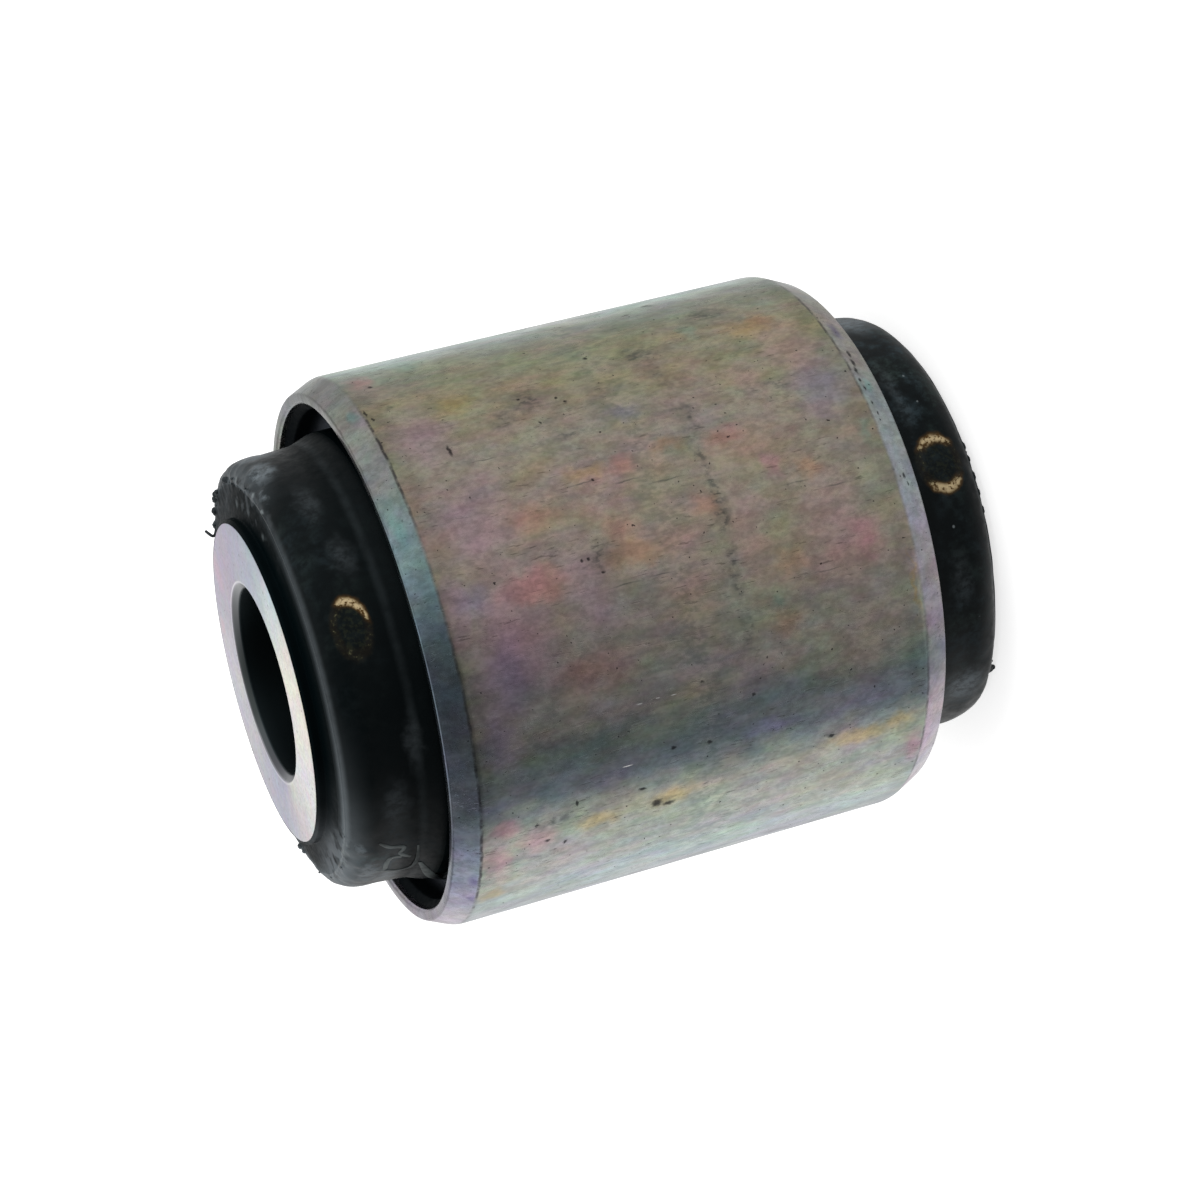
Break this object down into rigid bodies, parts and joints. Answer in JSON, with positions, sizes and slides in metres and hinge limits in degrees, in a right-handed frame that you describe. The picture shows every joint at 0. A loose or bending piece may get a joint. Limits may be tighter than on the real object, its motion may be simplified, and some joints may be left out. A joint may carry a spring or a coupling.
{
  "type": "rubber-metal bush",
  "caption": "Suspension bush: thick steel inner sleeve with a bolt bore, bonded rubber body with raised collars at both ends, thin steel outer sleeve with tapered ends for pressing into an eye.",
  "frame": {"origin": "middle of the bolt bore, halfway between the inner sleeve's two ends", "axes": "+Z along the bolt bore towards the upper end; the bush stands on its lower end; the bush is round, so +X and +Y are free"},
  "size_m": [0.042, 0.042, 0.0532],
  "materials": {
    "outer_sleeve_plating": "drawn steel tube with iridescent yellow zinc plating",
    "black_rubber": "matt moulded rubber",
    "inner_sleeve_plating": "turned steel with pale iridescent zinc plating"
  },
  "bodies": {
    "root": {"outer_sleeve": "outer_sleeve_plating", "rubber_body": "black_rubber", "inner_sleeve": "inner_sleeve_plating"}
  },
  "joints": []
}
